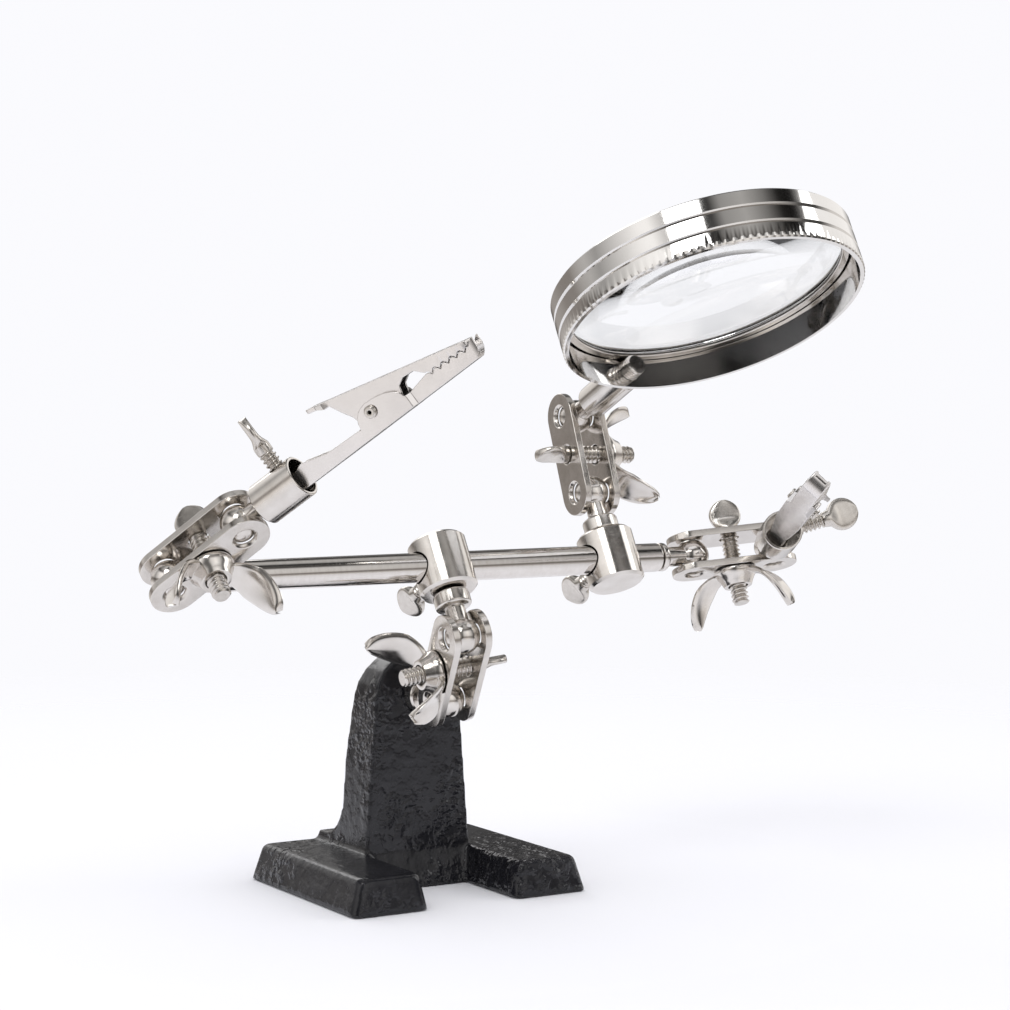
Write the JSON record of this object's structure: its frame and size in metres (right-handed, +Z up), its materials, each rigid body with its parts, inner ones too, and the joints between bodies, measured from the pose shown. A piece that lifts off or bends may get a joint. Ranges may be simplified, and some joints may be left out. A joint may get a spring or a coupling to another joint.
{
  "type": "helping hands clamp",
  "caption": "Third-hand soldering stand: a black cast base, a cross rod on ball clamps, a crocodile clip at each end and a round magnifier",
  "frame": {"origin": "on the table under the middle of the base, in the plane that the feet stand on", "axes": "+X along the cross rod towards the magnifier side, +Y from the open front of the base to its back, +Z up"},
  "size_m": [0.161, 0.1029, 0.1481],
  "materials": {
    "black_enamel": "glossy hammered enamel over cast iron",
    "nickel_plate": "bright nickel plate",
    "nickel_rod": "polished nickel plate",
    "zinc_screw": "barrel-plated nickel, slightly dull",
    "clip_steel": "satin nickel-plated sheet steel",
    "spring_steel": "drawn spring wire",
    "chrome_rim": "mirror chrome",
    "lens_glass": "clear polished glass"
  },
  "bodies": {
    "base": {"base_casting": "black_enamel"},
    "base_ball_stud": {"base_ball_stud": "nickel_plate"},
    "post_clamp_plates": {"post_clamp_plate_head_side": "nickel_plate", "post_clamp_plate_nut_side": "nickel_plate"},
    "post_block_ball_stud": {"post_block_ball_stud": "nickel_plate"},
    "post_rod_block": {"post_rod_block": "nickel_plate"},
    "cross_rod": {"cross_rod": "nickel_rod"},
    "left_rod_ball_stud": {"left_rod_ball_stud": "nickel_rod"},
    "left_clamp_plates": {"left_clamp_plate_head_side": "nickel_plate", "left_clamp_plate_nut_side": "nickel_plate"},
    "left_clamp_screw": {"left_clamp_screw": "zinc_screw"},
    "left_cup_ball_stud": {"left_cup_ball_stud": "nickel_plate"},
    "left_clip_cup": {"left_clip_cup": "nickel_plate"},
    "left_clip_lower_jaw": {"left_clip_lower_jaw": "clip_steel", "left_clip_rivet": "zinc_screw", "left_clip_spring": "spring_steel"},
    "left_clip_upper_jaw": {"left_clip_upper_jaw": "clip_steel"},
    "left_cup_screw": {"left_cup_screw": "zinc_screw"},
    "left_wing_nut": {"left_wing_nut": "nickel_plate"},
    "magnifier_rod_block": {"magnifier_rod_block": "nickel_plate"},
    "magnifier_block_ball_stud": {"magnifier_block_ball_stud": "nickel_plate"},
    "lens_clamp_plates": {"lens_clamp_plate_head_side": "nickel_plate", "lens_clamp_plate_nut_side": "nickel_plate"},
    "lens_clamp_screw": {"lens_clamp_screw": "zinc_screw"},
    "lens_stem": {"lens_stem": "nickel_plate"},
    "magnifier_bezel": {"lens_retaining_ring": "nickel_plate", "magnifier_bezel": "chrome_rim", "magnifier_lens": "lens_glass"},
    "lens_wing_nut": {"lens_wing_nut": "nickel_plate"},
    "magnifier_block_screw": {"magnifier_block_screw": "zinc_screw"},
    "right_rod_ball_stud": {"right_rod_ball_stud": "nickel_rod"},
    "right_clamp_plates": {"right_clamp_plate_head_side": "nickel_plate", "right_clamp_plate_nut_side": "nickel_plate"},
    "right_clamp_screw": {"right_clamp_screw": "zinc_screw"},
    "right_cup_ball_stud": {"right_cup_ball_stud": "nickel_plate"},
    "right_clip_cup": {"right_clip_cup": "nickel_plate"},
    "right_clip_lower_jaw": {"right_clip_lower_jaw": "clip_steel", "right_clip_rivet": "zinc_screw", "right_clip_spring": "spring_steel"},
    "right_clip_upper_jaw": {"right_clip_upper_jaw": "clip_steel"},
    "right_cup_screw": {"right_cup_screw": "zinc_screw"},
    "right_wing_nut": {"right_wing_nut": "nickel_plate"},
    "post_block_screw": {"post_block_screw": "zinc_screw"},
    "post_clamp_screw": {"post_clamp_screw": "zinc_screw"},
    "post_wing_nut": {"post_wing_nut": "nickel_plate"}
  },
  "joints": [
    {"name": "base_stud_spin", "type": "hinge", "parent": "base", "child": "base_ball_stud", "pos_m": [0, -0.0136, 0.0419], "axis": [0, 1, 0], "range_deg": [-30, 30]},
    {"name": "post_clamp_tilt", "type": "hinge", "parent": "base_ball_stud", "child": "post_clamp_plates", "pos_m": [0, -0.0136, 0.0419], "axis": [0.9914, -0.0503, 0.1208], "range_deg": [-25, 25]},
    {"name": "post_clamp_screw_turn", "type": "hinge", "parent": "post_clamp_plates", "child": "post_clamp_screw", "pos_m": [-0.00117, -0.01893, 0.04925], "axis": [0.9914, -0.0503, 0.1208], "continuous": true},
    {"name": "post_wing_nut_turn", "type": "hinge", "parent": "post_clamp_plates", "child": "post_wing_nut", "pos_m": [-0.00583, -0.01869, 0.04868], "axis": [-0.9914, 0.0503, -0.1208], "continuous": true},
    {"name": "post_block_tilt", "type": "hinge", "parent": "post_clamp_plates", "child": "post_block_ball_stud", "pos_m": [-0.00233, -0.02425, 0.0566], "axis": [-0.9914, 0.0503, -0.1208], "range_deg": [-30, 12]},
    {"name": "post_block_swivel", "type": "hinge", "parent": "post_block_ball_stud", "child": "post_rod_block", "pos_m": [-0.00233, -0.01586, 0.07057], "axis": [0, -0.515, -0.8572], "range_deg": [-45, 45]},
    {"name": "post_block_screw_turn", "type": "hinge", "parent": "post_rod_block", "child": "post_block_screw", "pos_m": [-0.00233, -0.01586, 0.07057], "axis": [0, 0.8572, -0.515], "continuous": true},
    {"name": "rod_slide", "type": "slide", "parent": "post_rod_block", "child": "cross_rod", "axis": [-1, 0, 0], "range_m": [-0.02, 0.02]},
    {"name": "left_rod_stud_spin", "type": "hinge", "parent": "cross_rod", "child": "left_rod_ball_stud", "pos_m": [-0.06453, -0.01586, 0.07057], "axis": [1, 0, 0], "range_deg": [-40, 40]},
    {"name": "left_clamp_tilt", "type": "hinge", "parent": "left_rod_ball_stud", "child": "left_clamp_plates", "pos_m": [-0.06453, -0.01586, 0.07057], "axis": [0.02, 0.7506, 0.6605], "range_deg": [-40, 5]},
    {"name": "left_clamp_screw_turn", "type": "hinge", "parent": "left_clamp_plates", "child": "left_clamp_screw", "pos_m": [-0.05931, -0.0209, 0.07614], "axis": [0.02, 0.7506, 0.6605], "continuous": true},
    {"name": "left_wing_nut_turn", "type": "hinge", "parent": "left_clamp_plates", "child": "left_wing_nut", "pos_m": [-0.05941, -0.02443, 0.07304], "axis": [-0.02, -0.7506, -0.6605], "continuous": true},
    {"name": "left_cup_tilt", "type": "hinge", "parent": "left_clamp_plates", "child": "left_cup_ball_stud", "pos_m": [-0.0541, -0.02595, 0.08172], "axis": [-0.02, -0.7506, -0.6605], "range_deg": [-30, 30]},
    {"name": "left_cup_spin", "type": "hinge", "parent": "left_cup_ball_stud", "child": "left_clip_cup", "pos_m": [-0.0541, -0.02595, 0.08172], "axis": [0.4597, -0.6896, 0.5596], "range_deg": [-90, 90]},
    {"name": "left_cup_screw_turn", "type": "hinge", "parent": "left_clip_cup", "child": "left_cup_screw", "pos_m": [-0.04841, -0.03512, 0.09076], "axis": [-0.4992, 0.3206, 0.805], "continuous": true},
    {"name": "left_clip_pull", "type": "slide", "parent": "left_clip_cup", "child": "left_clip_lower_jaw", "axis": [0.4597, -0.6896, 0.5596], "range_m": [0, 0.005]},
    {"name": "left_clip_open", "type": "hinge", "parent": "left_clip_lower_jaw", "child": "left_clip_upper_jaw", "pos_m": [-0.03724, -0.0519, 0.1045], "axis": [-0.7382, -0.6471, -0.1909], "range_deg": [0, 18], "stiffness_Nm_per_rad": 0.02, "springref_deg": -20.05},
    {"name": "right_rod_stud_spin", "type": "hinge", "parent": "cross_rod", "child": "right_rod_ball_stud", "pos_m": [0.06187, -0.01586, 0.07057], "axis": [1, 0, 0], "range_deg": [-30, 40]},
    {"name": "right_clamp_tilt", "type": "hinge", "parent": "right_rod_ball_stud", "child": "right_clamp_plates", "pos_m": [0.06187, -0.01586, 0.07057], "axis": [-0.0496, -0.382, -0.9228], "range_deg": [-30, 30]},
    {"name": "right_clamp_screw_turn", "type": "hinge", "parent": "right_clamp_plates", "child": "right_clamp_screw", "pos_m": [0.07035, -0.01918, 0.07149], "axis": [0.0496, 0.382, 0.9228], "continuous": true},
    {"name": "right_wing_nut_turn", "type": "hinge", "parent": "right_clamp_plates", "child": "right_wing_nut", "pos_m": [0.07011, -0.02097, 0.06715], "axis": [-0.0496, -0.382, -0.9228], "continuous": true},
    {"name": "right_cup_tilt", "type": "hinge", "parent": "right_clamp_plates", "child": "right_cup_ball_stud", "pos_m": [0.07882, -0.0225, 0.0724], "axis": [-0.0496, -0.382, -0.9228], "range_deg": [-30, 12]},
    {"name": "right_cup_spin", "type": "hinge", "parent": "right_cup_ball_stud", "child": "right_clip_cup", "pos_m": [0.07882, -0.0225, 0.0724], "axis": [-0.4505, -0.8509, 0.2703], "range_deg": [-90, 90]},
    {"name": "right_cup_screw_turn", "type": "hinge", "parent": "right_clip_cup", "child": "right_cup_screw", "pos_m": [0.07577, -0.03579, 0.07727], "axis": [0.8807, -0.3738, 0.2911], "continuous": true},
    {"name": "right_clip_pull", "type": "slide", "parent": "right_clip_cup", "child": "right_clip_lower_jaw", "axis": [-0.4505, -0.8509, 0.2703], "range_m": [0, 0.005]},
    {"name": "right_clip_open", "type": "hinge", "parent": "right_clip_lower_jaw", "child": "right_clip_upper_jaw", "pos_m": [0.06265, -0.05541, 0.0839], "axis": [-0.5544, 0.5039, 0.6624], "range_deg": [0, 18], "stiffness_Nm_per_rad": 0.02, "springref_deg": -20.05},
    {"name": "magnifier_block_slide", "type": "slide", "parent": "cross_rod", "child": "magnifier_rod_block", "axis": [1, 0, 0], "range_m": [-0.02, 0.008]},
    {"name": "magnifier_block_screw_turn", "type": "hinge", "parent": "magnifier_rod_block", "child": "magnifier_block_screw", "pos_m": [0.04, -0.01586, 0.07057], "axis": [0, 0.8805, -0.4741], "continuous": true},
    {"name": "lens_clamp_spin", "type": "hinge", "parent": "magnifier_rod_block", "child": "magnifier_block_ball_stud", "pos_m": [0.04, -0.00813, 0.08492], "axis": [0, 0.4741, 0.8805], "range_deg": [-45, 45]},
    {"name": "lens_clamp_tilt", "type": "hinge", "parent": "magnifier_block_ball_stud", "child": "lens_clamp_plates", "pos_m": [0.04, -0.00813, 0.08492], "axis": [0.9994, -0.03, -0.02], "range_deg": [-25, 25]},
    {"name": "lens_clamp_screw_turn", "type": "hinge", "parent": "lens_clamp_plates", "child": "lens_clamp_screw", "pos_m": [0.04028, -0.00448, 0.09331], "axis": [-0.9994, 0.03, 0.02], "continuous": true},
    {"name": "lens_wing_nut_turn", "type": "hinge", "parent": "lens_clamp_plates", "child": "lens_wing_nut", "pos_m": [0.04497, -0.00462, 0.09321], "axis": [0.9994, -0.03, -0.02], "continuous": true},
    {"name": "lens_stem_tilt", "type": "hinge", "parent": "lens_clamp_plates", "child": "lens_stem", "pos_m": [0.04055, -0.00084, 0.10169], "axis": [-0.9994, 0.03, 0.02], "range_deg": [-25, 25]},
    {"name": "lens_ring_spin", "type": "hinge", "parent": "lens_stem", "child": "magnifier_bezel", "pos_m": [0.04374, -0.04759, 0.12666], "axis": [-0.06, 0.8805, -0.4703], "range_deg": [-45, 45]}
  ]
}
